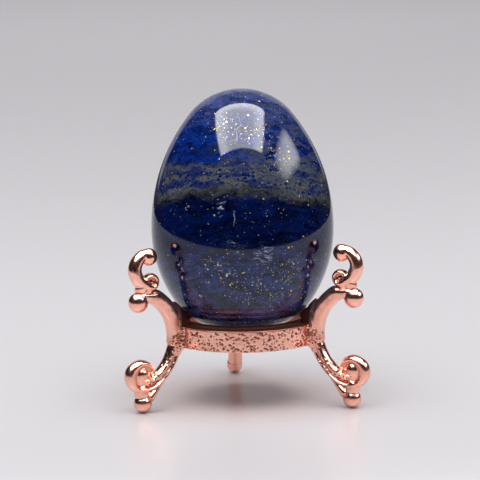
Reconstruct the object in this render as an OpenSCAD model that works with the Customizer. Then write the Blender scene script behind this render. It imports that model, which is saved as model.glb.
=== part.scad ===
// Polished stone egg on a three-legged scroll stand.
// Millimetres, +Z up. The origin is on the axis of the egg and the ring, at the level of the table.
// The two front legs stand at 210 and 330 degrees from +X, the back leg at 92.5 degrees.

/* [Stone egg] */
// Widest diameter of the egg
egg_d = 38; // [34:0.5:42]
// Height of the egg
egg_h = 49.6; // [46:0.2:56]
// Height of the widest place above the egg's lowest point
egg_belly = 20.6; // [19:0.1:22]
// Radius of the pointed end
egg_tip_r = 13.6; // [11:0.2:15]
// Radius of the flank below the widest place
egg_flank_r = 27; // [24:0.5:32]
// Radius between the flank and the base
egg_corner_r = 9; // [8:0.5:10.5]
// Radius of the blunt base
egg_base_r = 44; // [38:1:52]

/* [Seat ring] */
// Height of the ring's lower face above the table
ring_z = 12.6; // [11.4:0.1:13.8]
// Height of the ring's outer band
ring_h = 4.4; // [3.6:0.1:5]
// Wall of the ring, measured along its radius
ring_wall = 2.9; // [2.4:0.1:3.4]
// Height that the inner crest stands above the outer band
ring_crest = 0.6; // [0.3:0.1:0.9]
// Small bevel along the ring's edges
ring_bevel = 0.25; // [0.1:0.05:0.4]

/* [Seat] */
// Height of the egg's lowest point above the top of the outer band
egg_lift = -1.55; // [-2:0.05:-1]
// Slope of the three seat faces
seat_slope = 51; // [49:1:54]
// Length of a seat face up from the point of contact
seat_upper_length = 1.5; // [1:0.1:1.8]
// Length of a seat face down from the point of contact
seat_lower_length = 0.3; // [0.2:0.05:0.4]
// Gap between the egg and each seat face
seat_gap = 0.1; // [0.05:0.05:0.2]

/* [Legs] */
// Thickness of a leg, across its plane
leg_t = 3; // [2.4:0.1:3.6]
// Radius of the round bay on the outer side of a leg
bay_r = 8.25; // [7.65:0.05:8.7]
// Height of the middle of the bay above the table
bay_z = 15.15; // [14.5:0.05:15.8]
// Width of the curved limb above the ring, in the plane of the leg
limb_w = 3.35; // [3.15:0.05:3.7]
// Width of the curved limb below the ring
lower_w = 3; // [2.7:0.05:3.1]
// Depth of the limb outside the ring, at the middle of the bay
leg_root = 2.45; // [2.2:0.05:2.7]
// Radius on the long edges of the limb
limb_edge = 0.9; // [0.4:0.1:1.1]
// Radius of the curl that ends the limb at the shoulder
shoulder_r = 2.15; // [1.8:0.05:2.4]
// Distance of the shoulder curl's middle inside the bay's edge
shoulder_in = 0.45; // [0.2:0.05:0.7]
// Thickness of the shoulder curl, across the plane of the leg
shoulder_t = 3.2; // [2.6:0.1:3.8]
// Thickness of the seat lug and of the fillet under the ring
lug_t = 2.8; // [2:0.1:2.9]
// Fillets where the limb spreads into the ring
root_fillet = 2; // [1.2:0.1:2.4]
// Fillet under the ring
gusset_r = 2.2; // [1.4:0.1:2.6]

/* [Feet] */
// Radius of the foot scroll
volute_r = 3.45; // [3.3:0.05:3.8]
// Thickness of the foot scroll's round rim
volute_t = 3.3; // [2.8:0.1:3.4]
// Thickness of the web inside the foot scroll's rim
volute_web = 2; // [1.4:0.1:2.4]
// Radius of the boss in the middle of the foot scroll
boss_r = 1.5; // [1.2:0.05:1.6]
// Distance of the foot scroll's middle inside the bay's middle
volute_in = 1.2; // [0.6:0.1:1.8]
// Distance of the foot scroll's middle below the bay's middle
volute_drop = 7.45; // [7.2:0.05:7.8]
// Radius of the ball foot
foot_r = 1.95; // [1.8:0.05:2.1]
// Thickness of the ball foot, across the plane of the leg
foot_t = 3.1; // [2.6:0.1:3.8]
// Diameter of the neck between the ball foot and the foot scroll
neck_d = 2.7; // [2.2:0.1:2.9]
// Distance of the ball foot's middle inside the bay's middle
foot_in = 1.75; // [1.3:0.05:2.2]
// Height ground off each ball, so that it stands flat
foot_flat = 0.2; // [0.15:0.05:0.3]

/* [Crown scrolls] */
// Radius of the C scroll, to the middle of its bar
crown_r = 2.95; // [2.7:0.05:3.2]
// Diameter of the scroll's round bar
crown_bar = 3; // [2.4:0.1:3.2]
// Distance of the two curls' middles inside the middle of the bar
curl_in = 0.29; // [0.1:0.01:0.4]
// Radius of the ball that ends the upper curl
curl_ball_r = 1.85; // [1.6:0.05:2]
// Radius of the small spiral that ends the lower curl
curl_eye_r = 1.9; // [1.7:0.05:2.1]
// Thickness of the small spiral and of the pad under the scroll
curl_eye_t = 2.6; // [2:0.1:2.9]
// Free space between the egg's widest place and the nearest curl
crown_gap = 1.45; // [0.8:0.05:2.5]
// Distance of the C scroll's middle inside the bay's middle
crown_in = 3.6; // [3:0.1:4.2]
// Height of the crown's seat above the bay's upper edge
crown_rise = 1.8; // [1.6:0.05:2]
// Depth that the C scroll is filed flat for its seat
crown_file = 0.2; // [0.1:0.05:0.4]

/* [Hidden] */
$fn = 96;
SMALL = 0.01;
FINE = 180;
BIG = 100;

// Where the legs stand, in degrees about the axis
LEFT_ANGLE = 210;
RIGHT_ANGLE = 330;
BACK_ANGLE = 92.5;

COPPER = [0.83, 0.52, 0.42];
LAPIS = [0.10, 0.13, 0.36];

// A point at radius r and angle a about the point c
function polar(c, r, a) = c + r * [cos(a), sin(a)];

// The middle of a circle of radius r that lies inside and touches two circles, on their outer side
function inside_two(c1, r1, c2, r2, r) =
    let (d = norm(c2 - c1),
         u = (c2 - c1) / d,
         a = r1 - r,
         b = r2 - r,
         along = (a * a - b * b + d * d) / (2 * d),
         aside = sqrt(a * a - along * along))
    c1 + along * u + aside * [-u[1], u[0]];

// The angle of point p about point c
function bearing(c, p) = atan2(p[1] - c[1], p[0] - c[0]);

// Egg: five arcs that run into each other, with their middles in the plane of radius and height
egg_r = egg_d / 2;
egg_z = ring_z + ring_h + egg_lift;
upper_h = egg_h - egg_belly;
upper_r = (egg_r * egg_r + (upper_h - egg_tip_r) ^ 2 - egg_tip_r ^ 2) / (2 * (egg_r - egg_tip_r));
tip_c = [0, egg_z + egg_h - egg_tip_r];
upper_c = [egg_r - upper_r, egg_z + egg_belly];
flank_c = [egg_r - egg_flank_r, egg_z + egg_belly];
base_c = [0, egg_z + egg_base_r];
corner_c = inside_two(base_c, egg_base_r, flank_c, egg_flank_r, egg_corner_r);
tip_a = bearing(upper_c, tip_c);
flank_a = bearing(flank_c, corner_c);
base_a = bearing(base_c, corner_c);

// Crown scrolls clear the egg, the legs carry the crowns and the ring lies inside the legs
BALL_ANGLE = 94;
EYE_ANGLE = 258;
curl_r = crown_r - curl_in;
crown_c = [egg_r + crown_gap + curl_eye_r - curl_r * cos(EYE_ANGLE),
           bay_z + bay_r + crown_rise + crown_r + crown_bar / 2 - crown_file];
crown_z = crown_c[1] - crown_r - crown_bar / 2 + crown_file;
bay_c = [crown_c[0] + crown_in, bay_z];
ring_r = bay_c[0] - bay_r - leg_root;
ring_in = ring_r - ring_wall;
ring_top = ring_z + ring_h;

// Limb, from the shoulder round the bay to the foot
LIMB_FROM_ANGLE = 101;
// The narrower bar starts inside the wide one, whose end lies inside the ring
LOWER_FROM_ANGLE = 161;
LIMB_NARROWS_ANGLE = 188;
LIMB_TO_ANGLE = 252;
// Depth that the root fillets run into the sides of the limb
FILLET_BITE = 0.05;
shoulder_c = polar(bay_c, bay_r - shoulder_in, LIMB_FROM_ANGLE);
volute_c = [bay_c[0] - volute_in, bay_z - volute_drop];
foot_c = [bay_c[0] - foot_in, foot_r - foot_flat];

// Seat faces touch the egg's corner arc, at the slope given
seat_n = [sin(seat_slope), -cos(seat_slope)];
seat_t = [cos(seat_slope), sin(seat_slope)];
seat_p = corner_c + (egg_corner_r + seat_gap) * seat_n;
seat_hi = seat_p + seat_upper_length * seat_t;
seat_lo = seat_p - seat_lower_length * seat_t;

// One arc of the egg's outline with the wedge behind it
module arc_wedge(c, r, a0, a1) {
    far = 1.5 * r;
    intersection() {
        translate(c) circle(r, $fn = FINE);
        polygon([c, polar(c, far, a0), polar(c, far, (a0 + a1) / 2), polar(c, far, a1)]);
    }
}

module egg_outline() {
    intersection() {
        union() {
            arc_wedge(base_c, egg_base_r, -90, base_a);
            arc_wedge(corner_c, egg_corner_r, base_a, flank_a);
            arc_wedge(flank_c, egg_flank_r, flank_a, 0);
            arc_wedge(upper_c, upper_r, 0, tip_a);
            arc_wedge(tip_c, egg_tip_r, tip_a, 90);
            polygon([[0, egg_z + SMALL], polar(base_c, egg_base_r, base_a),
                     polar(corner_c, egg_corner_r, flank_a), [egg_r, egg_z + egg_belly],
                     polar(tip_c, egg_tip_r, tip_a), [0, egg_z + egg_h - SMALL]]);
        }
        translate([0, egg_z - BIG / 2]) square([egg_r, egg_h + BIG]);
    }
}

module stone_egg() {
    color(LAPIS) rotate_extrude($fn = FINE) egg_outline();
}

// Flat band with a crest that rises to the inside
module ring_solid() {
    b = ring_bevel;
    crest_z = ring_top + ring_crest;
    flat = ring_wall / 7;
    rotate_extrude($fn = FINE)
        polygon([[ring_in, ring_z + b], [ring_in + b, ring_z], [ring_r - b, ring_z], [ring_r, ring_z + b],
                 [ring_r, ring_top - b], [ring_r - b, ring_top],
                 [ring_in + 2 * flat, crest_z], [ring_in + flat, crest_z], [ring_in, crest_z - flat]]);
}

module seat_ring() {
    color(COPPER) ring_solid();
}

// Turns what is drawn in the plane of radius and height to the leg at angle a
module at_leg(a) {
    rotate([0, 0, a]) rotate([90, 0, 0]) children();
}

// A bar of the drawn section, bent about point c from angle a0 to a1
module bent_bar(c, a0, a1) {
    translate([c[0], c[1], 0]) rotate([0, 0, a0]) rotate_extrude(angle = a1 - a0) children();
}

module rounded_section(w, t, r) {
    square([w - 2 * r, t], center = true);
    square([w, t - 2 * r], center = true);
    for (x = [-1, 1], y = [-1, 1]) translate([x * (w / 2 - r), y * (t / 2 - r)]) circle(r);
}

// A ball with its two sides ground flat
module flat_ball(c, r, t) {
    intersection() {
        translate([c[0], c[1], 0]) sphere(r);
        translate([c[0], c[1], 0]) cube([3 * r, 3 * r, t], center = true);
    }
}

// The foot scroll: a round rim about a thinner web, with a boss in the middle
module volute() {
    rim = volute_t / 2;
    translate([volute_c[0], volute_c[1], 0]) {
        rotate_extrude() {
            translate([volute_r - rim, 0]) circle(rim);
            translate([0, -volute_web / 2]) square([volute_r - rim, volute_web]);
        }
        sphere(boss_r);
    }
}

// The small spiral end of a crown: a thick round disc with a dimple on each side
module curl_eye(c) {
    rim = curl_eye_t / 2;
    translate([c[0], c[1], 0])
        rotate_extrude()
            intersection() {
                translate([curl_eye_r - rim, 0]) circle(rim);
                translate([0, -rim]) square([curl_eye_r, curl_eye_t]);
            }
}

// The limb with its shoulder curl and its scrolled foot
module limb() {
    bent_bar(bay_c, LIMB_FROM_ANGLE, LIMB_NARROWS_ANGLE)
        translate([bay_r + limb_w / 2, 0]) rounded_section(limb_w, leg_t, limb_edge);
    bent_bar(bay_c, LOWER_FROM_ANGLE, LIMB_TO_ANGLE)
        translate([bay_r + lower_w / 2, 0]) rounded_section(lower_w, leg_t, limb_edge);
    flat_ball(shoulder_c, shoulder_r, shoulder_t);
    volute();
    flat_ball(foot_c, foot_r, foot_t);
    neck = volute_c - foot_c;
    translate([foot_c[0], foot_c[1], 0])
        rotate([0, 0, atan2(neck[1], neck[0])]) rotate([0, 90, 0])
            cylinder(h = norm(neck), d = neck_d);
}

// The lug inside the limb that carries the egg
module seat_lug() {
    into_limb = ring_r + leg_root / 2;
    linear_extrude(lug_t, center = true)
        polygon([seat_lo, seat_hi, [into_limb, seat_hi[1]],
                 [into_limb, ring_z + ring_h / 2], [seat_lo[0], ring_z + ring_h / 2]]);
}

// The fillet between the limb and the underside of the ring, with a blunt toe
module gusset() {
    limb_out = bay_r + lower_w;
    drop = bay_z - ring_z + gusset_r;
    reach = limb_out + gusset_r - FILLET_BITE;
    arc_c = [bay_c[0] - sqrt(reach * reach - drop * drop), ring_z - gusset_r];
    touch_z = bay_z - drop * limb_out / reach;
    low = touch_z + 2 * FILLET_BITE;
    toe = arc_c[0] + gusset_r / 3;
    into_limb = ring_r + leg_root / 3;
    linear_extrude(lug_t, center = true)
        difference() {
            translate([toe, low]) square([into_limb - toe, ring_z + ring_h / 2 - low]);
            translate(arc_c) circle(gusset_r);
        }
}

// The two upright fillets between the sides of the limb and the outside of the ring, with blunt toes
module root_fillets() {
    side_c = leg_t / 2 + root_fillet - FILLET_BITE;
    reach = sqrt((ring_r + root_fillet) ^ 2 - side_c ^ 2);
    half = leg_t / 2 + root_fillet / 2;
    back = ring_in + ring_wall / 2;
    translate([0, 0, ring_z + 2 * ring_bevel])
        linear_extrude(ring_h - 4 * ring_bevel)
            difference() {
                translate([back, -half]) square([reach - back, 2 * half]);
                for (side = [-1, 1]) translate([reach, side * side_c]) circle(root_fillet);
            }
}

module leg(a) {
    color(COPPER) difference() {
        union() {
            at_leg(a) {
                limb();
                seat_lug();
                gusset();
            }
            rotate([0, 0, a]) root_fillets();
        }
        ring_solid();
        translate([-BIG, -BIG, -BIG]) cube([2 * BIG, 2 * BIG, BIG]);
        translate([-BIG, -BIG, crown_z]) cube([2 * BIG, 2 * BIG, BIG]);
    }
}

// The C scroll that stands on a leg's shoulder
module crown(a) {
    ball_c = polar(crown_c, curl_r, BALL_ANGLE);
    eye_c = polar(crown_c, curl_r, EYE_ANGLE);
    pad_in = eye_c[0] - curl_eye_r / 2;
    pad_out = crown_c[0] + crown_r;
    color(COPPER) difference() {
        at_leg(a) {
            bent_bar(crown_c, EYE_ANGLE - 360, BALL_ANGLE) translate([crown_r, 0]) circle(crown_bar / 2);
            translate([ball_c[0], ball_c[1], 0]) rotate([0, 0, BALL_ANGLE + 90]) sphere(curl_ball_r);
            curl_eye(eye_c);
            linear_extrude(curl_eye_t, center = true)
                polygon([[pad_in, crown_z - crown_file], [pad_out, crown_z - crown_file],
                         polar(crown_c, crown_r, -40), polar(crown_c, crown_r, -80), eye_c]);
        }
        translate([-BIG, -BIG, crown_z - BIG]) cube([2 * BIG, 2 * BIG, BIG]);
    }
}

module leg_left() { leg(LEFT_ANGLE); }
module leg_right() { leg(RIGHT_ANGLE); }
module leg_back() { leg(BACK_ANGLE); }
module crown_left() { crown(LEFT_ANGLE); }
module crown_right() { crown(RIGHT_ANGLE); }
module crown_back() { crown(BACK_ANGLE); }

stone_egg();
seat_ring();
leg_left();
leg_right();
leg_back();
crown_left();
crown_right();
crown_back();
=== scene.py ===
"""A polished lapis egg held by a three-legged cast copper stand, in a small studio."""

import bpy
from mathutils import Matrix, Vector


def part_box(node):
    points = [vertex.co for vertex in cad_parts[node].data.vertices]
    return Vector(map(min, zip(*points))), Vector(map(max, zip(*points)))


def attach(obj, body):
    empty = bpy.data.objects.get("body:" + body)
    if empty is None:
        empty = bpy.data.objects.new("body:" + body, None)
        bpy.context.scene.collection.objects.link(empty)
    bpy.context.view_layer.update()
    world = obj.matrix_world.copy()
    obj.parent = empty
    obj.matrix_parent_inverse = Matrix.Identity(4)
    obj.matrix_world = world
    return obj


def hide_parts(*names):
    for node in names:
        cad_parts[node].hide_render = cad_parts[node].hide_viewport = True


bl_info = {
    "name": "Lapis Egg on Scroll Stand",
    "version": (1, 0, 0),
    "blender": (4, 5, 0),
    "location": "3D View > Sidebar > Egg Stand",
    "description": "Builds a polished stone egg, its copper scroll stand and a studio",
    "category": "Add Mesh",
}

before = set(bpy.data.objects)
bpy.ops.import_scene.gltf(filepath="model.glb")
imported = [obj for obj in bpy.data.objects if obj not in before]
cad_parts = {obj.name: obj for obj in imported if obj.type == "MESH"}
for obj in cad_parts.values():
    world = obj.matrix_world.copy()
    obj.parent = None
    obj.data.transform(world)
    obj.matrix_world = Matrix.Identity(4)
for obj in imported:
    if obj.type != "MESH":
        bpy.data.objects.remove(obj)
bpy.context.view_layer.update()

import math
import random

import bmesh
import bpy
from bpy.props import FloatProperty, FloatVectorProperty, IntProperty, PointerProperty
from mathutils import Matrix, Vector, kdtree, noise

MM = 0.001
LEG_ANGLES = {"left": 210.0, "right": 330.0, "back": 92.5}


def linear(hex_colour):
    """An sRGB hex colour as linear red, green, blue and an alpha of one."""
    shares = [int(hex_colour[at:at + 2], 16) / 255 for at in (1, 3, 5)]
    return [s / 12.92 if s <= 0.04045 else ((s + 0.055) / 1.055) ** 2.4 for s in shares] + [1.0]


def colour(name, description, hex_colour):
    return FloatVectorProperty(name=name, description=description, subtype="COLOR", size=4,
                               min=0.0, max=1.0, default=linear(hex_colour))


def length(name, description, millimetres):
    return FloatProperty(name=name, description=description, unit="LENGTH", subtype="DISTANCE",
                         min=0.0, default=millimetres * MM)


egg_low, egg_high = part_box("stone_egg")


class StoneEggSettings(bpy.types.PropertyGroup):
    """Sizes and colours of the stone."""

    width: length("Width", "Widest across the belly", (egg_high.x - egg_low.x) / MM - 0.03)
    height: length("Height", "From the base to the tip", (egg_high.z - egg_low.z) / MM - 0.01)
    belly: length("Belly height", "Height of the widest place above the base", 20.6)
    tip_radius: length("Tip radius", "Radius of the round top", 13.6)
    flank_radius: length("Flank radius", "Radius of the lower flank", 27.0)
    corner_radius: length("Corner radius", "Radius where the flank turns under", 9.0)
    base_radius: length("Base radius", "Radius of the blunt underside", 44.0)
    navy: colour("Navy", "Deep blue of the dense layers", "#00041E")
    blue: colour("Blue", "Bright blue of the upper layers", "#042D86")
    slate: colour("Slate", "Grey blue of the lower layers", "#273A72")
    olive: colour("Olive", "Grey matrix rock of the speckled band", "#565A58")
    calcite: colour("Calcite", "White wisps and veins", "#A9B2CC")
    pyrite: colour("Pyrite", "Gold flecks", "#E2D08E")


class StandSettings(bpy.types.PropertyGroup):
    """Sizes and colours of the ring, legs and crowns."""

    ring_inside: length("Ring inside", "Inner radius of the seat ring", 12.903)
    ring_wall: length("Ring wall", "Wall of the seat ring", 2.9)
    ring_bottom: length("Ring bottom", "Height of the ring's underside", 12.6)
    ring_height: length("Ring height", "Height of the ring's outer face", 4.4)
    ring_crest: length("Ring crest", "Rise of the ring's top to its inner edge", 0.6)
    pits: IntProperty(name="Casting pits", description="Pits in the ring's outer face",
                      min=0, default=900)
    bay_radius: length("Bay radius", "Radius of the open C of a leg", 8.25)
    limb_width: length("Limb width", "Width of the upper limb", 3.35)
    limb_thickness: length("Limb thickness", "Thickness of a leg across its plane", 3.0)
    shoulder_radius: length("Shoulder radius", "Ball at the top of the limb", 2.1)
    volute_radius: length("Volute radius", "Scroll above the foot", 3.45)
    foot_radius: length("Foot radius", "Ball that stands on the table", 1.95)
    crown_radius: length("Crown radius", "Outer radius of the crown's curl", 4.45)
    crown_ball: length("Crown ball", "Ball at the tip of the crown", 1.85)
    voxel: length("Casting step", "Step at which the parts of a casting are fused", 0.1)
    rose: colour("Rose copper", "Clean polished copper", "#FFC2AE")
    worn: colour("Warm copper", "Slightly tarnished copper", "#FFB8A2")
    tarnish_and_painted_shade: colour("Tarnish", "Brown left in pits and creases", "#6E3527")


class StudioSettings(bpy.types.PropertyGroup):
    """Floor, light and camera."""

    floor: colour("Floor", "Pale paper floor", "#D2D0D3")
    background: colour("Background", "Pale room behind the floor", "#BEBCC0")
    dark_room: colour("Dark room", "Unlit room that polished surfaces mirror", "#201A17")
    key_power: FloatProperty(name="Key power", description="Power of the overhead softbox",
                             min=0.0, unit="POWER", default=248.0)
    key_gloss: FloatProperty(name="Key gloss", min=0.0, default=4.1,
                             description="How much brighter the softbox's face mirrors")
    side_power: FloatProperty(name="Side power", description="Power of the right softbox",
                              min=0.0, unit="POWER", default=52.0)
    distance: length("Distance", "From the camera to its aim", 430.0)
    aim_height: length("Aim height", "Height of the aim above the table", 33.455)
    aim_side: FloatProperty(name="Aim side", description="Aim to the right of the axis",
                            unit="LENGTH", default=-0.55 * MM)
    elevation: FloatProperty(name="Elevation", description="Camera above the horizon",
                             subtype="ANGLE", default=math.radians(8.45))
    azimuth: FloatProperty(name="Azimuth", description="Camera's swing to the left",
                           subtype="ANGLE", default=math.radians(2.51))
    roll: FloatProperty(name="Roll", description="Camera's turn about its own axis",
                        subtype="ANGLE", default=math.radians(0.85))
    focal: FloatProperty(name="Focal length", description="Lens on a 36 mm sensor",
                         min=1.0, default=154.68)


# Mesh helpers: the template of a leg or a crown lies along X, with Y across its plane.
# They work in millimetres.

SECTION_SIDES = 40  # round a bar
SWEEP_STEPS = 6  # between two keys of a bar
SOFT_PASSES = 8  # of smoothing over a fused casting
EGG_SIDES, RING_SIDES = 200, 780
WELD = 0.002
PIT = "pit"  # the vertex layer that holds how black a pit is


def polar(centre, radius, degrees):
    turn = math.radians(degrees)
    return centre[0] + radius * math.cos(turn), centre[1] + radius * math.sin(turn)


def spline(keys, steps):
    """Smooth stations through the keys, with the given steps between two of them."""
    ends = [keys[0]] + list(keys) + [keys[-1]]
    line = []
    for at in range(1, len(ends) - 2):
        before, here, after, later = ends[at - 1:at + 3]
        for step in range(steps):
            t = step / steps
            line.append(tuple(
                0.5 * (2 * b + (c - a) * t + (2 * a - 5 * b + 4 * c - d) * t * t
                       + (3 * b - a - 3 * c + d) * t ** 3)
                for a, b, c, d in zip(before, here, after, later)))
    return line + [tuple(keys[-1])]


def sweep(bm, keys, flat_from=None):
    """A bar along keys of x, z, half width and half thickness.

    With flat_from, the section has flat cheeks and crisp edges on its inner side, and is
    round beyond that share of its half width."""
    line = spline(keys, SWEEP_STEPS)
    loop = bmesh.ops.create_circle(bm, segments=SECTION_SIDES, radius=1.0)["verts"]
    if flat_from is not None:
        blunt = 2 / 7
        for vert in loop:
            x, y = vert.co.x, vert.co.y
            if x >= 0:
                vert.co.x = flat_from + (1 - flat_from) * x
            else:
                vert.co.x = flat_from - (1 + flat_from) * abs(x) ** blunt
                vert.co.y = math.copysign(abs(y) ** blunt, y)
    rim = list({edge for vert in loop for edge in vert.link_edges})
    first, stood = rim, Matrix.Identity(4)
    for at, (x, z, wide, thick) in enumerate(line):
        behind, ahead = line[max(at - 1, 0)], line[min(at + 1, len(line) - 1)]
        along = Vector((ahead[0] - behind[0], 0, ahead[1] - behind[1])).normalized()
        stand = Matrix(((along.z * wide, 0, along.x, x),
                        (0, thick, 0, 0),
                        (-along.x * wide, 0, along.z, z),
                        (0, 0, 0, 1)))
        if at:
            grown = bmesh.ops.extrude_edge_only(bm, edges=rim)["geom"]
            loop = [g for g in grown if isinstance(g, bmesh.types.BMVert)]
            new = set(loop)
            rim = [g for g in grown
                   if isinstance(g, bmesh.types.BMEdge) and new.issuperset(g.verts)]
        bmesh.ops.transform(bm, matrix=stand @ stood.inverted(), verts=loop)
        stood = stand
    for end in (first, rim):
        bmesh.ops.edgeloop_fill(bm, edges=end)


def ball(bm, x, z, radius, across=None, tall=None):
    form = Matrix.Diagonal((radius, across or radius, tall or radius, 1.0))
    bmesh.ops.create_uvsphere(bm, u_segments=40, v_segments=24, radius=1.0,
                              matrix=Matrix.Translation((x, 0, z)) @ form)


def plate(bm, outline, low, high, lying=False):
    """A flat plate of an outline: upright in the leg's plane, or lying in the ring's."""
    corners = [bm.verts.new((x, other, low) if lying else (x, low, other)) for x, other in outline]
    grown = bmesh.ops.extrude_face_region(bm, geom=[bm.faces.new(corners)])["geom"]
    rise = (0, 0, high - low) if lying else (0, high - low, 0)
    bmesh.ops.translate(bm, vec=rise,
                        verts=[g for g in grown if isinstance(g, bmesh.types.BMVert)])


def spin_round(bm, sides):
    """Spins a profile right round the axis and closes its seam and poles."""
    bmesh.ops.spin(bm, geom=bm.verts[:] + bm.edges[:], cent=(0, 0, 0), axis=(0, 0, 1),
                   angle=2 * math.pi, steps=sides, use_merge=True)
    bmesh.ops.remove_doubles(bm, verts=bm.verts, dist=WELD)
    bmesh.ops.recalc_face_normals(bm, faces=bm.faces)


def fuse(bm, voxel):
    """One skin over all the overlapping parts, with its creases softened as in a casting."""
    bmesh.ops.recalc_face_normals(bm, faces=bm.faces)
    rough = bpy.data.meshes.new("casting")
    bm.to_mesh(rough)
    bm.free()
    holder = bpy.data.objects.new("casting", rough)
    bpy.context.scene.collection.objects.link(holder)
    skin = holder.modifiers.new("fuse", "REMESH")
    skin.mode = "VOXEL"
    skin.voxel_size = voxel
    fused = bpy.data.meshes.new_from_object(
        holder.evaluated_get(bpy.context.evaluated_depsgraph_get()))
    bpy.data.objects.remove(holder)
    bpy.data.meshes.remove(rough)
    bm = bmesh.new()
    bm.from_mesh(fused)
    bpy.data.meshes.remove(fused)
    if not bm.faces:
        raise RuntimeError("the casting came out empty")
    for _ in range(SOFT_PASSES):
        bmesh.ops.smooth_vert(bm, verts=bm.verts, factor=0.5, use_axis_x=True,
                              use_axis_y=True, use_axis_z=True)
    bmesh.ops.recalc_face_normals(bm, faces=bm.faces)
    return bm


def hand_finish(bm, seed, depth, spacing):
    """Slight hollows that filing and polishing leave in a casting's face."""
    bm.normal_update()
    shift = Vector((seed * 37.0, seed * 11.0, seed * 5.0))
    moves = [vert.normal * depth * (noise.noise(vert.co / spacing + shift) - 1.0) / 2
             for vert in bm.verts]
    for vert, move in zip(bm.verts, moves):
        vert.co += move


def dent(bm, tree, centre, radius, depth, inward, black=1.0):
    """Pushes in a round dent, and notes how black it is."""
    pit = bm.verts.layers.float[PIT]
    for _, index, away in tree.find_range(centre, radius):
        share = 1 - (away / radius) ** 2
        vert = bm.verts[index]
        vert.co += inward * depth * share * share
        vert[pit] = max(vert[pit], black * share)


def tree_of(bm):
    """The places of the vertices, for dents, before any is made."""
    bm.verts.layers.float.new(PIT)
    bm.verts.ensure_lookup_table()
    tree = kdtree.KDTree(len(bm.verts))
    for vert in bm.verts:
        tree.insert(vert.co, vert.index)
    tree.balance()
    return tree


def finished(name, bm, material):
    """An object at the origin from a mesh in millimetres."""
    bmesh.ops.scale(bm, vec=(MM, MM, MM), verts=bm.verts)
    bmesh.ops.recalc_face_normals(bm, faces=bm.faces)
    for face in bm.faces:
        face.smooth = True
    mesh = bpy.data.meshes.new(name)
    bm.to_mesh(mesh)
    bm.free()
    mesh.materials.append(material)
    piece = bpy.data.objects.new(name, mesh)
    bpy.context.scene.collection.objects.link(piece)
    return piece


# Materials.


def add(tree, kind, links=None, stops=None, **settings):
    """Adds a node with its settings, joins or sets its inputs and gives its outputs."""
    node = tree.nodes.new("ShaderNode" + kind)
    for name, value in settings.items():
        setattr(node, name, value)
    for name, value in (links or {}).items():
        if isinstance(value, bpy.types.NodeSocket):
            tree.links.new(value, node.inputs[name])
        else:
            node.inputs[name].default_value = value
    if stops:
        ramp = node.color_ramp
        while len(ramp.elements) < len(stops):
            ramp.elements.new(1.0)
        for element, (at, shade) in zip(ramp.elements, stops):
            element.position, element.color = at, shade
    return node.outputs


def cleared(block):
    """The emptied node tree of a material, world or lamp."""
    block.use_nodes = True
    block.node_tree.nodes.clear()
    return block.node_tree


def new_material(name):
    material = bpy.data.materials.new(name)
    tree = cleared(material)
    shader = add(tree, "BsdfPrincipled")["BSDF"].node
    add(tree, "OutputMaterial", {"Surface": shader.outputs["BSDF"]})
    return material, tree, shader


def millimetre_place(tree):
    """Object coordinates in millimetres."""
    place = add(tree, "TexCoord")["Object"]
    return add(tree, "VectorMath", {0: place, "Scale": 1 / MM}, operation="SCALE")[0]


def grey(value):
    return (value, value, value, 1.0)


def blend_of(one, other, share):
    return [a + (b - a) * share for a, b in zip(one, other)]


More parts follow.
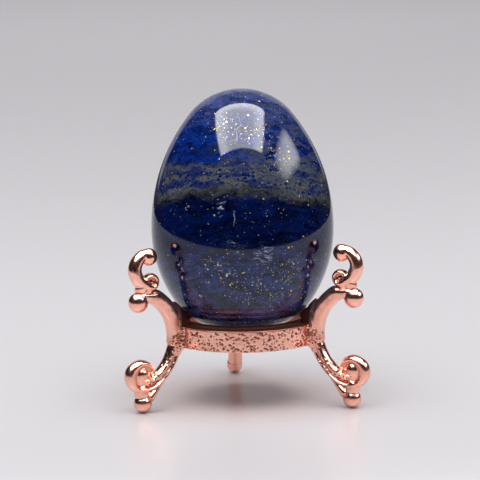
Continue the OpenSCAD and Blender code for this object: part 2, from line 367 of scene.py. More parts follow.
def polished_lapis(look):
    """Lapis lazuli, ground and polished: tilted streaks of blue, a grey band with blue spots,
    white wisps of calcite and gold pyrite under a clear, mirror-smooth face."""
    material, tree, shader = new_material("polished_lapis_lazuli")
    mm = millimetre_place(tree)

    # Layers folded by some 3 mm, frayed by 0.5 mm, that rise towards the front.
    bent, rise = mm, 0.3
    for spacing, depth in ((9.0, 6.0), (1.5, 1.3)):
        fold = add(tree, "TexNoise", {"Vector": mm, "Scale": 1 / spacing, "Detail": 3.0})
        centred = add(tree, "VectorMath", {0: fold["Color"], 1: (0.5, 0.5, 0.5)},
                      operation="SUBTRACT")[0]
        bent = add(tree, "VectorMath", {0: centred, 1: (depth,) * 3, 2: bent},
                   operation="MULTIPLY_ADD")[0]
    layer = add(tree, "VectorMath", {0: bent, 1: (0.05, rise, 1.0)},
                operation="DOT_PRODUCT")["Value"]
    low, high = 14.0, 66.0
    level = add(tree, "MapRange", {"Value": layer, "From Min": low, "From Max": high})[0]

    # What the layers hold, by height in millimetres.
    navy, blue, slate, olive = look.navy[:], look.blue[:], look.slate[:], look.olive[:]
    royal = blend_of(navy, blue, 0.42)
    heights = {
        "dark": ((15, navy), (39.4, navy), (40.4, blend_of(navy, olive, 0.2)), (41.5, royal),
                 (46, royal), (48, blend_of(navy, blue, 0.18)), (60, blend_of(navy, blue, 0.3))),
        "light": ((15, slate), (27, slate), (29.5, blend_of(navy, blue, 0.25)),
                  (38.5, blend_of(navy, blue, 0.28)), (39.8, blend_of(navy, olive, 0.6)),
                  (41.3, olive), (46.3, olive), (47.5, blue), (54, blue),
                  (64, blend_of(blue, look.calcite[:], 0.22))),
        "spots": ((40.8, 0.0), (41.6, 1.0), (45.2, 1.0), (46.6, 0.0)),
        "rock": ((16, 0.12), (28, 0.1), (31, 0.02), (39, 0.04), (41.5, 0.6), (46.5, 1.0),
                 (50, 0.62), (60, 0.55)),
        "wisps": ((16, 0.16), (29, 0.16), (31, 0.04), (46, 0.04), (52, 0.06), (60, 0.4)),
    }
    by_level = {}
    for name, stops in heights.items():
        by_level[name] = add(tree, "ValToRGB", {"Fac": level}, stops=[
            ((height - low) / (high - low), grey(shade) if isinstance(shade, float) else shade)
            for height, shade in stops])["Color"]

    # Clouds drawn out along the layers: millimetres along and through them, detail, roughness,
    # and the range of the noise that becomes a share from nought to one.
    clouds = {
        "streaks": (6.0, 1.6, 6.0, 0.62, 0.43, 0.57),
        "mottle": (1.8, 0.7, 6.0, 0.68, 0.42, 0.58),
        "rock": (4.6, 1.2, 7.0, 0.66, 0.45, 0.57),
        "wisps": (3.0, 0.6, 8.0, 0.75, 0.52, 0.7),
        "veins": (2.6, 0.3, 3.0, 0.62, 0.54, 0.62),
        "ore": (4.0, 3.0, 3.0, 0.62, 0.42, 0.68),
        "spots": (1.05, 0.9, 0.0, 0.0, 0.3, 0.42),
    }
    shares = {}
    for seed, (name, (along, through, detail, rough, least, most)) in enumerate(clouds.items()):
        where = add(tree, "Mapping", {"Vector": mm if name == "spots" else bent,
                                      "Location": (seed * 31.0, seed * 17.0, seed * 7.0),
                                      "Rotation": (math.atan(-rise), 0.0, 0.0),
                                      "Scale": (along, along, through)}, vector_type="TEXTURE")[0]
        # The blue spots are cells, 0.4 to 0.9 mm wide; the rest is noise.
        if name == "spots":
            cloud = add(tree, "TexVoronoi", {"Vector": where, "Scale": 1.0,
                                             "Randomness": 0.9})["Distance"]
        else:
            cloud = add(tree, "TexNoise", {"Vector": where, "Scale": 1.0, "Detail": detail,
                                           "Roughness": rough})["Fac"]
        shares[name] = add(tree, "MapRange", {"Value": cloud, "From Min": least, "From Max": most},
                           interpolation_type="SMOOTHSTEP")[0]

    def pockets(*centres):
        """Nearness to the nearest of some places, each of x, y, z and a reach."""
        near = 0.0
        for *centre, reach in centres:
            away = add(tree, "VectorMath", {0: bent, 1: centre}, operation="DISTANCE")["Value"]
            close = add(tree, "MapRange", {"Value": away, "From Min": reach,
                                           "From Max": 0.4 * reach})[0]
            near = add(tree, "Math", {0: near, 1: close}, operation="MAXIMUM")[0]
        return near

    share = add(tree, "Mix", {0: 0.4, 2: shares["streaks"], 3: shares["mottle"]},
                data_type="FLOAT")[0]
    # The spots stand in rows, which the streaks leave dark.
    rows = add(tree, "MapRange", {"Value": shares["streaks"], "To Min": 0.14})[0]
    spotted = add(tree, "Math", {0: shares["spots"], 1: rows}, operation="MULTIPLY")[0]
    share = add(tree, "Mix", {0: by_level["spots"], 2: share, 3: spotted}, data_type="FLOAT")[0]
    # The right side holds more matrix rock; calcite veins lie in a few pockets.
    side = add(tree, "SeparateXYZ", {0: bent})["X"]
    righter = add(tree, "MapRange", {"Value": side, "From Min": -9.0, "From Max": 9.0,
                                     "To Min": 0.04})[0]
    veined = pockets((-2.4, -18.8, 34.9, 1.8), (3.0, -18.6, 33.4, 2.6), (-5.2, -17.6, 42.8, 1.4))
    limits = {"rock": (by_level["rock"], righter), "wisps": (by_level["wisps"],),
              "veins": (veined, 0.8)}
    for name, factors in limits.items():
        for factor in factors:
            shares[name] = add(tree, "Math", {0: shares[name], 1: factor}, operation="MULTIPLY")[0]
    # Healed hairline cracks: thin white planes that show as lines where they meet the face.
    crack_width, crack_share = 0.24, 0.45
    for centre, normal, reach in (((5.3, -16.4, 20.2), (-0.52, 0.1, 0.85), 3.2),
                                  ((-1.6, -12.0, 57.5), (0.95, 0.2, -0.25), 4.5),
                                  ((-1.9, -18.6, 41.0), (0.98, 0.0, 0.2), 1.6)):
        offset = add(tree, "VectorMath", {0: bent, 1: centre}, operation="SUBTRACT")[0]
        aside = add(tree, "VectorMath", {0: offset, 1: normal}, operation="DOT_PRODUCT")["Value"]
        thin = add(tree, "Math", {0: aside, 1: 0.0, 2: crack_width / 2}, operation="COMPARE")[0]
        for factor in (pockets((*centre, reach)), crack_share):
            thin = add(tree, "Math", {0: thin, 1: factor}, operation="MULTIPLY")[0]
        shares["veins"] = add(tree, "Math", {0: shares["veins"], 1: thin}, operation="MAXIMUM")[0]
    # Dark grain in every layer, and the finer one that frays the pyrite, in millimetres.
    grain_size, fray_size = 0.35, 0.2
    grain = add(tree, "TexNoise", {"Vector": mm, "Scale": 1 / grain_size, "Detail": 2.0})
    shares["grain"] = add(tree, "MapRange",
                          {"Value": grain["Fac"], "From Min": 0.48, "From Max": 0.62,
                           "To Max": 0.55})[0]

    # Pyrite: dust of 0.2 mm and flecks of 0.4 mm, richest in a few pockets.
    rich = pockets((-3.3, -11.8, 58.0, 4.6), (2.8, -12.4, 57.2, 4.2), (8.0, -14.5, 51.9, 4.8),
                   (-7.0, -17.0, 30.4, 3.6), (-3.0, -17.8, 28.8, 4.0), (1.0, -17.2, 26.4, 5.4),
                   (7.9, -16.3, 29.2, 4.8), (6.0, -16.6, 24.4, 4.0))
    sparse = add(tree, "Math", {0: shares["ore"], 1: 0.28}, operation="MULTIPLY")[0]
    wealth = add(tree, "Math", {0: rich, 1: sparse}, operation="MAXIMUM")[0]
    ragged = add(tree, "TexNoise", {"Vector": mm, "Scale": 1 / fray_size, "Detail": 2.0})
    frayed = add(tree, "VectorMath", {0: ragged["Color"], 1: (0.4, 0.4, 0.4), 2: mm},
                 operation="MULTIPLY_ADD")[0]
    gold = 0.0
    for spacing, poorest, richest in ((0.32, 0.03, 0.48), (0.62, 0.003, 0.34)):
        cell = add(tree, "TexVoronoi", {"Vector": frayed, "Scale": 1 / spacing})
        chance = add(tree, "SeparateColor", {"Color": cell["Color"]})
        odds = add(tree, "MapRange", {"Value": wealth, "To Min": poorest, "To Max": richest})[0]
        grown = add(tree, "Math", {0: chance["Red"], 1: odds}, operation="ADD")[0]
        taken = add(tree, "Math", {0: grown, 1: 1.0}, operation="GREATER_THAN")[0]
        reach = add(tree, "MapRange", {"Value": chance["Green"], "To Min": 0.1, "To Max": 0.36})[0]
        inside = add(tree, "Math", {0: reach, 1: cell["Distance"]}, operation="SUBTRACT")[0]
        edge = add(tree, "MapRange", {"Value": inside, "From Min": 0.0, "From Max": 0.04})[0]
        shine = add(tree, "MapRange", {"Value": chance["Blue"], "To Min": 0.4})[0]
        for factor in (taken, shine):
            edge = add(tree, "Math", {0: edge, 1: factor}, operation="MULTIPLY")[0]
        gold = add(tree, "Math", {0: gold, 1: edge}, operation="MAXIMUM")[0]

    stone = by_level["dark"]
    for amount, colour_of in ((share, by_level["light"]),
                              (shares["rock"], blend_of(olive, slate, 0.25)),
                              (shares["wisps"], blend_of(blue, look.calcite[:], 0.5)),
                              (shares["veins"], look.calcite[:]),
                              (shares["grain"], blend_of(navy, grey(0.0), 0.5)),
                              (gold, look.pyrite[:])):
        stone = add(tree, "Mix", {0: amount, 6: stone, 7: colour_of}, data_type="RGBA")[2]
    tree.links.new(stone, shader.inputs["Base Color"])
    for socket, least, most in (("Metallic", 0.0, 0.6), ("Roughness", 0.06, 0.4)):
        value = add(tree, "MapRange", {"Value": gold, "To Min": least, "To Max": most})[0]
        tree.links.new(value, shader.inputs[socket])
    # Pyrite is harder than the stone and stands proud by hundredths of a millimetre.
    relief = add(tree, "Bump", {"Strength": 0.35, "Distance": 0.02 * MM, "Height": gold})["Normal"]
    tree.links.new(relief, shader.inputs["Normal"])
    shader.inputs["IOR"].default_value = 1.41
    return material


def cast_copper(look):
    """Copper-plated casting, tumbled and hand-polished: rose faces with a fine sandy grain,
    warmer patches, brown tarnish in the creases that the mop doesn't reach, pits painted dark
    brown for tarnish and painted shade, and painted shade on the seat under the stone."""
    name = "polished_cast_copper"
    if name in bpy.data.materials:
        return bpy.data.materials[name]
    material, tree, shader = new_material(name)
    mm = millimetre_place(tree)
    # Warm patches and a sandy grain, in millimetres.
    patch_size, grain_size = 3.0, 0.3
    patch = add(tree, "TexNoise", {"Vector": mm, "Scale": 1 / patch_size, "Detail": 5.0})
    patched = add(tree, "MapRange", {"Value": patch["Fac"], "From Min": 0.35, "From Max": 0.7})
    metal = add(tree, "Mix", {0: patched[0], 6: look.rose[:], 7: look.worn[:]},
                data_type="RGBA")[2]
    hollow = add(tree, "NewGeometry")["Pointiness"]
    crease = add(tree, "MapRange", {"Value": hollow, "From Min": 0.49, "From Max": 0.43,
                                    "To Max": 0.9})[0]
    # Painted shade on the seat under the stone: from the ring's upper edge inwards the copper is
    # painted towards the dark brown and made rougher, for the shade and dark reflections there.
    flat = add(tree, "VectorMath", {0: mm, 1: (1.0, 1.0, 0.0)}, operation="MULTIPLY")[0]
    inner = add(tree, "VectorMath", {0: flat}, operation="LENGTH")["Value"]
    height = add(tree, "SeparateXYZ", {0: mm})["Z"]
    edge, slope = (look.ring_bottom + look.ring_height) / MM, 0.4
    shade_from, shade_full_at = 15.75, 15.5
    for operation, one, other in (("SUBTRACT", height, edge - slope), ("MINIMUM", None, slope),
                                  ("SUBTRACT", inner, None)):
        height = add(tree, "Math", {0: one or height, 1: other or height}, operation=operation)[0]
    painted_seat_shade = add(tree, "MapRange", {"Value": height, "From Min": shade_from,
                                  "From Max": shade_full_at, "To Max": 0.8})[0]
    # Pits are painted dark brown: tarnish in them, and painted shade that also hides the glints
    # their lips would catch.
    pitted = add(tree, "Attribute", attribute_name=PIT)["Fac"]
    pitted = add(tree, "MapRange", {"Value": pitted, "From Min": 0.1, "From Max": 0.6,
                                    "To Max": 0.95})[0]
    # The brown share: tarnish in the creases, the pits' painted dark and the painted shade on the
    # seat.
    brown = crease
    for other in (painted_seat_shade, pitted):
        brown = add(tree, "Math", {0: brown, 1: other}, operation="MAXIMUM")[0]
    metal = add(tree, "Mix", {0: brown, 6: metal, 7: look.tarnish_and_painted_shade[:]}, data_type="RGBA")[2]
    tree.links.new(metal, shader.inputs["Base Color"])
    grain = add(tree, "TexNoise", {"Vector": mm, "Scale": 1 / grain_size, "Detail": 4.0,
                                   "Roughness": 0.65})["Fac"]
    satin = add(tree, "MapRange", {"Value": grain, "From Min": 0.35, "From Max": 0.65,
                                   "To Min": 0.15, "To Max": 0.27})[0]
    for place, more in ((pitted, 0.3), (painted_seat_shade, 0.16)):
        satin = add(tree, "Math", {0: place, 1: more, 2: satin}, operation="MULTIPLY_ADD")[0]
    tree.links.new(satin, shader.inputs["Roughness"])
    relief = add(tree, "Bump", {"Strength": 0.16, "Distance": 0.02 * MM,
                                "Height": grain})["Normal"]
    tree.links.new(relief, shader.inputs["Normal"])
    shader.inputs["Metallic"].default_value = 1.0
    return material


# Pieces.


def set_round(template, kind, look, finishes, pits=0):
    """Hand-finished copies of a casting at the three legs' places, as pieces of the stand.

    Each finish has its seed, depth and spacing; pits is how many each pitted place gets."""
    for number, (name, degrees) in enumerate(LEG_ANGLES.items()):
        bm = template.copy()
        for seed, depth, spacing in finishes:
            hand_finish(bm, number + seed, depth, spacing)
        if pits:
            tree, draw = tree_of(bm), random.Random(21 + number)
            # Casting pits on the lower limb, and more where the leg runs into the ring, where
            # their painted dark also paints the shade of that joint.
            for chosen in (
                    [v for v in bm.verts if 6.0 < v.co.z < 15.5 and v.co.x < 23.0],
                    [v for v in bm.verts if abs(v.co.y) > 1.3 and 13.2 < v.co.z < 16.2
                     and 15.5 < v.co.x < 17.6]):
                for _ in range(pits):
                    spot = draw.choice(chosen)
                    dent(bm, tree, spot.co.copy(), draw.uniform(0.15, 0.42),
                         draw.uniform(0.05, 0.14), -spot.normal.copy(), draw.random())
        # The table stops the feet.
        for vert in bm.verts:
            vert.co.z = max(vert.co.z, 0.0)
        bmesh.ops.rotate(bm, cent=(0, 0, 0), verts=bm.verts,
                         matrix=Matrix.Rotation(math.radians(degrees), 3, "Z"))
        piece = finished("copper_" + kind + "_" + name, bm, cast_copper(look))
        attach(piece, "stand")
        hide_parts(kind + "_" + name)
    template.free()


class EGGSTAND_OT_stone_egg(bpy.types.Operator):
    """Turn the stone egg from five arcs and give it its lapis"""

    bl_idname = "egg_stand.stone_egg"
    bl_label = "Stone Egg"

    def execute(self, context):
        size = context.scene.stone_egg
        half, height, belly, tip, flank, corner, base = [
            value / MM for value in (size.width / 2, size.height, size.belly, size.tip_radius,
                                     size.flank_radius, size.corner_radius, size.base_radius)]
        foot = egg_low.z / MM
        # The upper arc meets the belly level and the tip from inside.
        rise = height - tip - belly
        upper = (half * half + rise * rise - tip * tip) / (2 * (half - tip))
        flank_c = Vector((half - flank, foot + belly))
        base_c = Vector((0.0, foot + base))
        # The corner's centre lies at known distances from the flank's and base's centres.
        to_flank, to_base = flank - corner, base - corner
        gap = base_c - flank_c
        apart = gap.length
        along = (to_flank ** 2 - to_base ** 2 + apart ** 2) / (2 * apart)
        aside = math.sqrt(to_flank ** 2 - along ** 2)
        unit = gap / apart
        corner_c = flank_c + unit * along + Vector((unit.y, -unit.x)) * aside
        if corner_c.x < 0:
            corner_c = flank_c + unit * along - Vector((unit.y, -unit.x)) * aside
        upper_c, tip_c = Vector((half - upper, foot + belly)), Vector((0.0, foot + height - tip))

        def slant(start, end):
            return math.atan2(end.y - start.y, end.x - start.x)

        turns = [-math.pi / 2, slant(base_c, corner_c), slant(flank_c, corner_c), 0.0,
                 slant(upper_c, tip_c), math.pi / 2]
        bm = bmesh.new()
        last = bm.verts.new((0, 0, foot))
        for centre, begin, end, steps in zip((base_c, corner_c, flank_c, upper_c, tip_c),
                                             turns, turns[1:], (14, 14, 18, 34, 36)):
            made = bmesh.ops.spin(bm, geom=[last], cent=(centre.x, 0, centre.y),
                                  axis=(0, -1, 0), angle=end - begin, steps=steps)
            last = next(g for g in made["geom_last"] if isinstance(g, bmesh.types.BMVert))
        spin_round(bm, EGG_SIDES)
        egg = finished("lapis_egg", bm, polished_lapis(size))
        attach(egg, "egg")
        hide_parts("stone_egg")
        return {"FINISHED"}


class EGGSTAND_OT_seat_ring(bpy.types.Operator):
    """Spin the pitted ring that ties the three legs together"""

    bl_idname = "egg_stand.seat_ring"
    bl_label = "Seat Ring"

    def execute(self, context):
        size = context.scene.egg_stand
        inside, wall, low, tall, crest = [
            value / MM for value in (size.ring_inside, size.ring_wall, size.ring_bottom,
                                     size.ring_height, size.ring_crest)]
        outside, top = inside + wall, low + tall
        bm = bmesh.new()
        # A low bead on the top and a lip that leans in under the stone.
        corners = [(inside, low), (outside, low), (outside, top), (inside + 1.55, top + 0.3),
                   (inside + 1.35, top + 0.12), (inside + 0.7, top + crest - 0.1),
                   (inside - 0.4, top + crest), (inside - 0.9, top + crest - 0.45),
                   (inside - 0.9, top - 0.5), (inside, top - 1.3)]
        bmesh.ops.contextual_create(bm, geom=[bm.verts.new((x, 0, z)) for x, z in corners])
        edge_round, face_step, plain_step = 0.3, 0.11, 0.3
        bmesh.ops.bevel(bm, geom=bm.verts[:], offset=edge_round, offset_type="OFFSET", segments=5,
                        profile=0.5, affect="VERTICES", material=-1, clamp_overlap=True)
        bmesh.ops.delete(bm, geom=bm.faces[:], context="FACES_ONLY")
        for edge in bm.edges[:]:
            if edge.calc_length() > plain_step:
                outer = min(v.co.x for v in edge.verts) > outside - 0.01
                cuts = int(edge.calc_length() / (face_step if outer else plain_step))
                bmesh.ops.subdivide_edges(bm, edges=[edge], cuts=cuts)
        spin_round(bm, RING_SIDES)
        hand_finish(bm, 5, 0.045, 2.2)
        hand_finish(bm, 6, 0.012, 0.5)
        tree, draw = tree_of(bm), random.Random(7)
        for _ in range(size.pits):
            turn = math.radians(draw.uniform(0, 360))
            # Pits gather at the lower edge and thin out towards the top.
            height = low + 0.25 + (tall - 0.5) * draw.random() ** 1.4
            inward = Vector((-math.cos(turn), -math.sin(turn), 0))
            centre = Vector((outside * math.cos(turn), outside * math.sin(turn), height))
            wide = draw.uniform(0.12, 0.2) * draw.choice((1.0, 1.0, 1.0, 1.35))
            side = Vector((-inward.y, inward.x, draw.uniform(0.2, 0.8)))
            for shift in range(draw.choice((1, 1, 2, 3))):
                dent(bm, tree, centre + side * shift * wide * 0.8, wide,
                     wide * draw.uniform(0.5, 0.9), inward)
        ring = finished("copper_seat_ring", bm, cast_copper(size))
        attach(ring, "stand")
        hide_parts("seat_ring")
        return {"FINISHED"}


class EGGSTAND_OT_scroll_legs(bpy.types.Operator):
    """Sweep and fuse the scrolled leg, and stand three of them round the ring"""

    bl_idname = "egg_stand.scroll_legs"
    bl_label = "Scroll Legs"

    def execute(self, context):
        size = context.scene.egg_stand
        bay_r, limb_w, thick, shoulder, volute, foot = [
            value / MM for value in (size.bay_radius, size.limb_width, size.limb_thickness,
                                     size.shoulder_radius, size.volute_radius,
                                     size.foot_radius)]
        ring_r = (size.ring_inside + size.ring_wall) / MM
        ring_low, ring_tall = size.ring_bottom / MM, size.ring_height / MM
        half = thick / 2
        bay = (ring_r + 10.7, 15.15)
        scroll = (ring_r + 9.5, 7.7)
        bm = bmesh.new()

        # Upper limb: flat cheeks, crisp towards the bay and round over the egg's side.
        top = 25.1
        keys = [(25.7, 23.5, 0.7, 1.2), (25.05, 23.9, 0.9, 1.4)]
        for degrees in (103, 108, 114, 121, 130, 142, 155, 168, 180, 190):
            reach = min(bay_r + limb_w, (top - bay[1]) / math.sin(math.radians(degrees))
                        if degrees < 150 else bay_r + limb_w)
            wide = (reach - bay_r) / 2
            keys.append((*polar(bay, bay_r + wide, degrees), wide, half))
        sweep(bm, keys, flat_from=0.05)
        ball(bm, ring_r + 9.5, 22.95, shoulder, across=1.9, tall=2.15)

        # Lower limb: a core with three ridges that run on into the scroll.
        sweep(bm, [(*polar(bay, bay_r + 1.3, d), 1.15, half * 0.72)
                   for d in (184, 200, 215, 230, 244)])
        sweep(bm, [(*polar(bay, bay_r + 0.95, d), w, half * t)
                   for d, w, t in ((178, 0.95, 1.0), (195, 0.95, 1.0), (212, 0.9, 1.0),
                                   (228, 0.85, 0.97), (238, 0.78, 0.93), (244, 0.5, 0.75))])
        sweep(bm, [(*polar(bay, bay_r + 2.0, d), 0.42, half * 0.9) for d in (190, 205, 220)]
              + [(20.95, 6.95, 0.4, 1.3), (21.9, 6.62, 0.38, 1.25), (23.0, 6.75, 0.42, 1.25),
                 (24.2, 7.3, 0.5, 1.3)])
        band = [(*polar(scroll, volute - w, d), w, t)
                for d, w, t in ((-75, 0.72, 1.4), (-40, 1.05, 1.42), (0, 1.15, 1.42),
                                (40, 1.08, 1.42), (90, 0.9, 1.42), (130, 0.66, 1.35),
                                (163, 0.36, 1.1))]
        sweep(bm, [(*polar(bay, bay_r + 2.62, 190), 0.45, 1.3),
                   (*polar(bay, bay_r + 2.2, 208), 0.45, 1.38),
                   (*polar(bay, bay_r + 2.3, 224), 0.45, 1.4),
                   (21.1, 5.95, 0.46, 1.4), (22.3, 5.35, 0.48, 1.4), (23.4, 4.95, 0.52, 1.4),
                   (24.5, 4.85, 0.58, 1.4)] + band)
        ball(bm, *scroll, volute * 0.87, across=0.95)
        ball(bm, scroll[0] - 0.33, scroll[1] + 0.22, 1.75, across=1.42)

        # Foot: the inner ridge runs on into the ball, and the neck lies back between the two.
        sweep(bm, [(20.4, 6.5, 0.6, 1.25), (21.6, 5.1, 0.75, 1.42), (22.6, 3.95, 0.95, 1.6),
                   (23.5, 2.9, 1.2, 1.65)])
        sweep(bm, [(25.3, 5.6, 1.3, 1.15), (25.0, 4.4, 1.6, 1.4), (24.85, 3.5, 1.5, 1.35),
                   (24.8, 2.6, 1.2, 1.0)])
        ball(bm, scroll[0] - 0.55, foot, foot, across=1.8)

        # Seat lug: a bar out of the limb whose upper side lies along the stone.
        sweep(bm, [(14.9, 17.46, 2.25, 1.2), (15.47, 18.16, 2.28, 1.32), (17.93, 20.1, 1.72, 1.42),
                   (19.11, 21.81, 1.55, 1.42)])
        sweep(bm, [(14.3, 15.0, 1.1, 1.3), (14.25, 16.6, 1.1, 1.3), (14.35, 18.2, 0.95, 1.15)])

        # Its sides lean back over the ring's top, so that no groove shows under it.
        sweep(bm, [(15.6, 15.2, 2.2, 1.8), (15.9, 17.0, 2.3, 1.62), (16.3, 18.6, 2.2, 1.45),
                   (17.0, 20.2, 1.9, 1.2), (17.9, 21.6, 1.4, 0.9)])

        # Fillets: under the ring into the lower limb, and from the cheeks along the ring's face.
        inner, round_r = bay_r + 2.65, 2.2
        drop = ring_low - round_r
        toe = bay[0] - math.sqrt((inner + round_r) ** 2 - (bay[1] - drop) ** 2)
        meet = math.degrees(math.atan2(bay[1] - drop, bay[0] - toe))
        curve = [polar((toe, drop), round_r, 90 - (90 - meet) * n / 8) for n in range(9)]
        plate(bm, curve + [polar(bay, inner - 1.2, 180 + meet + 2), (ring_r + 1.4, ring_low + 1.0),
                           (toe, ring_low + 0.6)], -1.25, 1.25)
        fillet = 0.8
        aside = half - 0.1 + fillet
        ahead = math.sqrt((ring_r + fillet) ** 2 - aside ** 2)
        touch = math.degrees(math.atan2(aside, ahead))
        for side in (1, -1):
            arc = [polar((ahead, aside), fillet, 270 - (90 - touch) * n / 10) for n in range(11)]
            outline = arc + [polar((0, 0), ring_r - 0.8, touch + 1.5), (ring_r - 1.0, 0.3),
                             (ahead, 0.3)]
            plate(bm, [(x, side * y) for x, y in outline], ring_low + 0.2,
                  ring_low + ring_tall - 0.1, lying=True)

        set_round(fuse(bm, size.voxel / MM), "leg", size, ((1, 0.05, 1.7), (4, 0.007, 0.45)),
                  pits=90)
        return {"FINISHED"}


class EGGSTAND_OT_curl_crowns(bpy.types.Operator):
    """Sweep and fuse the curled crown, and set one on each leg"""

    bl_idname = "egg_stand.curl_crowns"
    bl_label = "Curl Crowns"

    def execute(self, context):
        size = context.scene.egg_stand
        ring_r = (size.ring_inside + size.ring_wall) / MM
        reach, bead = size.crown_radius / MM, size.crown_ball / MM
        curl, eye = (ring_r + 7.1, 29.45), (ring_r + 6.7, 26.95)
        bm = bmesh.new()
        ball(bm, *polar(curl, reach - 1.8, 94), bead, across=1.78)
        bar = [(*polar(curl, reach - w, d), w, t)
               for d, w, t in ((88, 1.2, 1.35), (60, 1.28, 1.42), (25, 1.36, 1.48),
                               (-10, 1.42, 1.5), (-45, 1.42, 1.5), (-72, 1.25, 1.5))]
        coil = [(*polar(eye, r, d), w, t)
                for d, r, w, t in ((-110, 1.2, 0.72, 1.42), (-150, 1.25, 0.66, 1.38),
                                   (-200, 1.27, 0.62, 1.34), (-250, 1.27, 0.6, 1.3),
                                   (-300, 1.22, 0.56, 1.25), (-345, 1.1, 0.45, 1.1))]
        sweep(bm, bar + [(23.35, 26.0, 0.95, 1.48)] + coil)
        ball(bm, *eye, 0.95, across=0.75)
        # The bar's end sinks into the leg's shoulder, so that no slit shows between them.
        sweep(bm, [(24.6, 27.2, 1.0, 1.1), (24.5, 26.0, 1.45, 1.4), (24.5, 25.1, 1.45, 1.15),
                   (24.6, 24.4, 1.2, 0.8)])
        sweep(bm, [(22.9, 26.2, 0.8, 1.2), (23.1, 25.3, 1.15, 1.25), (23.4, 24.3, 1.1, 1.0)])
        set_round(fuse(bm, size.voxel / MM), "crown", size, ((11, 0.06, 1.5), (14, 0.008, 0.45)))
        return {"FINISHED"}


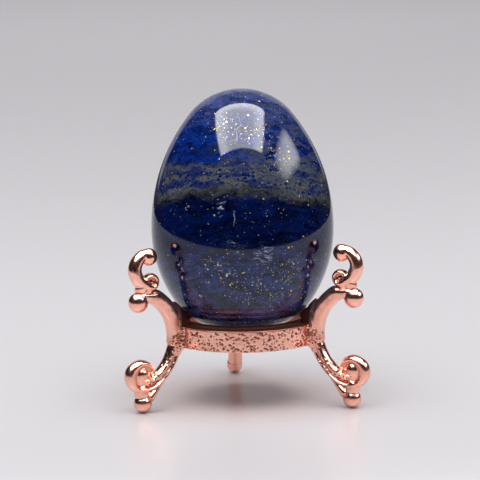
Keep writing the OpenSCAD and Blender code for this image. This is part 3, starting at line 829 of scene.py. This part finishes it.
class EGGSTAND_OT_studio(bpy.types.Operator):
    """Lay the paper floor, hang the softboxes and set the camera"""

    bl_idname = "egg_stand.studio"
    bl_label = "Studio"

    def execute(self, context):
        scene, look = context.scene, context.scene.egg_studio
        scene.view_settings.view_transform = "Standard"

        # Smooth paper that runs out into the room; the light dying away and coming back is painted
        # into its colour, with a painted bright strip in front for the copper to mirror.
        material, tree, shader = new_material("pale_paper")
        place = add(tree, "TexCoord")["Object"]
        apart = add(tree, "SeparateXYZ", {0: place})
        aside = add(tree, "Math", {0: apart["X"], 1: apart["X"]}, operation="MULTIPLY")[0]
        depth = add(tree, "Math", {0: aside, 1: -3.0, 2: apart["Y"]}, operation="MULTIPLY_ADD")[0]
        near, far, lit_middle, lit_radius = -0.4, 3.0, (0.0, 0.2, 0.0), 0.337
        along = add(tree, "MapRange", {"Value": depth, "From Min": near, "From Max": far})[0]
        painted_falloff = add(tree, "ValToRGB", {"Fac": along}, stops=[
            ((reach - near) / (far - near), [part * share for part in look.floor[:3]] + [1.0])
            for reach, share in ((-0.35, 1.1), (-0.14, 1.6), (-0.1, 1.23), (-0.07, 0.94),
                                 (-0.03, 0.96), (0.08, 0.98), (0.2, 0.92), (0.36, 0.83),
                                 (0.6, 0.77), (0.9, 0.75), (1.5, 0.82), (2.8, 1.02))])["Color"]
        painted_falloff.node.color_ramp.interpolation = "B_SPLINE"
        # Painted light: the warm cast that the copper above throws is painted into the paper's
        # colour under the ring.
        under = add(tree, "VectorMath", {0: place}, operation="LENGTH")
        close = add(tree, "MapRange", {"Value": under["Value"],
                                       "From Min": 0.032, "From Max": 0.008},
                    interpolation_type="SMOOTHSTEP")[0]
        painted_warm_cast = add(tree, "Mix", {0: close, 6: painted_falloff, 7: (1.12, 0.98, 0.93, 1.0)},
                     data_type="RGBA", blend_type="MULTIPLY")[2]
        tree.links.new(painted_warm_cast, shader.inputs["Base Color"])
        shader.inputs["Roughness"].default_value = 0.3
        shader.inputs["Specular IOR Level"].default_value = 0.3
        # Painted reflection: to glossy rays the paper beyond the lit round shows the unlit room's
        # dark, so polished surfaces mirror a lit round of paper and darkness beyond it.
        away = add(tree, "VectorMath", {0: place, 1: lit_middle}, operation="DISTANCE")["Value"]
        beyond = add(tree, "Math", {0: away, 1: lit_radius}, operation="GREATER_THAN")[0]
        ray = add(tree, "LightPath")["Is Glossy Ray"]
        mirrored = add(tree, "Math", {0: beyond, 1: ray}, operation="MULTIPLY")[0]
        unlit = add(tree, "Emission", {"Color": look.dark_room[:]})[0]
        paper = add(tree, "MixShader", {0: mirrored, 1: shader.outputs[0], 2: unlit})
        tree.links.new(paper[0], tree.nodes["Material Output"].inputs["Surface"])
        bm = bmesh.new()
        bmesh.ops.create_circle(bm, cap_ends=True, segments=128, radius=9000.0)
        bmesh.ops.translate(bm, vec=(0, 0, -0.02), verts=bm.verts)
        finished("paper_floor", bm, material)

        # The unlit room round the paper, open at the back: only polished surfaces mirror it.
        material = bpy.data.materials.new("unlit_room")
        tree = cleared(material)
        glow = add(tree, "Emission", {"Color": look.dark_room[:]})
        add(tree, "OutputMaterial", {"Surface": glow[0]})
        bm = bmesh.new()
        room, ceiling, opening = 8000.0, 6000.0, 30.0
        start = math.radians(90 + opening)
        wall = [bm.verts.new((room * math.cos(start), room * math.sin(start), z))
                for z in (0.0, ceiling)]
        edge = bm.edges.new(wall)
        bmesh.ops.spin(bm, geom=wall + [edge], cent=(0, 0, 0), axis=(0, 0, 1),
                       angle=math.radians(360 - 2 * opening), steps=64)
        bmesh.ops.create_circle(bm, cap_ends=True, segments=64, radius=room,
                                matrix=Matrix.Translation((0, 0, ceiling)))
        surround = finished("unlit_room", bm, material)
        surround.visible_camera = surround.visible_diffuse = surround.visible_shadow = False

        scene.world = bpy.data.worlds.new("pale_room")
        tree = cleared(scene.world)
        ray = add(tree, "LightPath")
        seen = ray["Is Camera Ray"]
        for other in ("Is Glossy Ray", "Is Transmission Ray"):
            seen = add(tree, "Math", {0: seen, 1: ray[other]}, operation="MAXIMUM")[0]
        strength = add(tree, "MapRange", {"Value": seen, "To Min": 0.62})
        pale = add(tree, "Background", {"Color": look.background[:], "Strength": strength[0]})
        add(tree, "OutputWorld", {"Surface": pale[0]})

        def softbox(name, power, wide, deep, place, aim, least, cloth):
            """An area lamp; cloth gives its brightness from the middle to the edge, and least
            is -1 or 0 for each axis: 0 leaves the edge on that side crisp."""
            lamp = bpy.data.lights.new(name, "AREA")
            lamp.shape, lamp.size, lamp.size_y, lamp.energy = "RECTANGLE", wide, deep, power
            tree = cleared(lamp)
            spot = add(tree, "NewGeometry")["Parametric"]
            spot = add(tree, "VectorMath", {0: spot, 1: (2.0, 2.0, 0.0), 2: (-1.0, -1.0, 0.0)},
                       operation="MULTIPLY_ADD")[0]
            spot = add(tree, "VectorMath", {0: spot, 1: least}, operation="MAXIMUM")[0]
            square = add(tree, "VectorMath", {0: spot, 1: spot}, operation="MULTIPLY")[0]
            out = add(tree, "VectorMath", {0: square}, operation="LENGTH")
            shade = add(tree, "ValToRGB", {"Fac": out["Value"]},
                        stops=[(at, grey(value)) for at, value in cloth])
            glow = add(tree, "Emission", {"Strength": shade["Color"]})
            add(tree, "OutputLight", {"Surface": glow[0]})
            holder = bpy.data.objects.new(name, lamp)
            holder.location = place
            holder.rotation_euler = (Vector(aim) - Vector(place)).to_track_quat(
                "-Z", "Y").to_euler()
            holder.visible_camera = False
            scene.collection.objects.link(holder)
            return holder

        # The overhead softbox lights evenly; its face just below shows only in polish, dimmer
        # in the middle and with round corners at the back.
        hung, left, front, up = (5.28, 4.4), -0.16, -1.0, 4.0
        softbox("overhead_softbox", look.key_power, *hung, (left, front, up), (left, front, 0),
                (-1, -1, 0), ((0.0, 1.0), (1.0, 1.0))).visible_glossy = False
        softbox("overhead_softbox_face", look.key_power * look.key_gloss, *hung,
                (left, front, up - 0.05), (left, front, 0), (-1, 0, 0),
                ((0.0, 0.62), (0.2, 0.68), (0.5, 1.0), (0.85, 1.0), (1.0, 0.0))
                ).visible_diffuse = False
        softbox("right_softbox", look.side_power, 2.1, 0.9, (2.03, -0.3, 1.35), (0, 0, 0.05),
                (-1, -1, 0), ((0.0, 1.0), (0.25, 0.9), (0.95, 0.0))).visible_diffuse = False

        lens = bpy.data.cameras.new("camera")
        lens.sensor_width, lens.lens = 36.0, look.focal
        lens.clip_start, lens.clip_end = 0.01, 100.0
        swing = Matrix.Rotation(-look.azimuth, 4, "Z")
        aim = Matrix.Translation((look.aim_side, 0, look.aim_height))
        tilt = Matrix.Rotation(math.pi / 2 - look.elevation, 4, "X")
        back = Matrix.Translation((0, 0, look.distance))
        camera = bpy.data.objects.new("camera", lens)
        camera.matrix_world = swing @ aim @ tilt @ Matrix.Rotation(-look.roll, 4, "Z") @ back
        scene.collection.objects.link(camera)
        scene.camera = camera
        return {"FINISHED"}


class EGGSTAND_PT_panel(bpy.types.Panel):
    """Settings and buttons of the egg and its stand"""

    bl_label = "Egg Stand"
    bl_idname = "EGGSTAND_PT_panel"
    bl_space_type = "VIEW_3D"
    bl_region_type = "UI"
    bl_category = "Egg Stand"

    def draw(self, context):
        for settings, operators in (
                (context.scene.stone_egg, [EGGSTAND_OT_stone_egg]),
                (context.scene.egg_stand, [EGGSTAND_OT_seat_ring, EGGSTAND_OT_scroll_legs,
                                           EGGSTAND_OT_curl_crowns]),
                (context.scene.egg_studio, [EGGSTAND_OT_studio])):
            box = self.layout.box()
            for name in settings.__annotations__:
                box.prop(settings, name)
            for operator in operators:
                box.operator(operator.bl_idname)


classes = (StoneEggSettings, StandSettings, StudioSettings, EGGSTAND_OT_stone_egg,
           EGGSTAND_OT_seat_ring, EGGSTAND_OT_scroll_legs, EGGSTAND_OT_curl_crowns,
           EGGSTAND_OT_studio, EGGSTAND_PT_panel)


def register():
    for cls in classes:
        bpy.utils.register_class(cls)
    bpy.types.Scene.stone_egg = PointerProperty(type=StoneEggSettings)
    bpy.types.Scene.egg_stand = PointerProperty(type=StandSettings)
    bpy.types.Scene.egg_studio = PointerProperty(type=StudioSettings)


def unregister():
    for name in ("stone_egg", "egg_stand", "egg_studio"):
        delattr(bpy.types.Scene, name)
    for cls in reversed(classes):
        bpy.utils.unregister_class(cls)


def main():
    register()
    bpy.ops.egg_stand.stone_egg()
    bpy.ops.egg_stand.seat_ring()
    bpy.ops.egg_stand.scroll_legs()
    bpy.ops.egg_stand.curl_crowns()
    bpy.ops.egg_stand.studio()


if __name__ == "__main__":
    main()
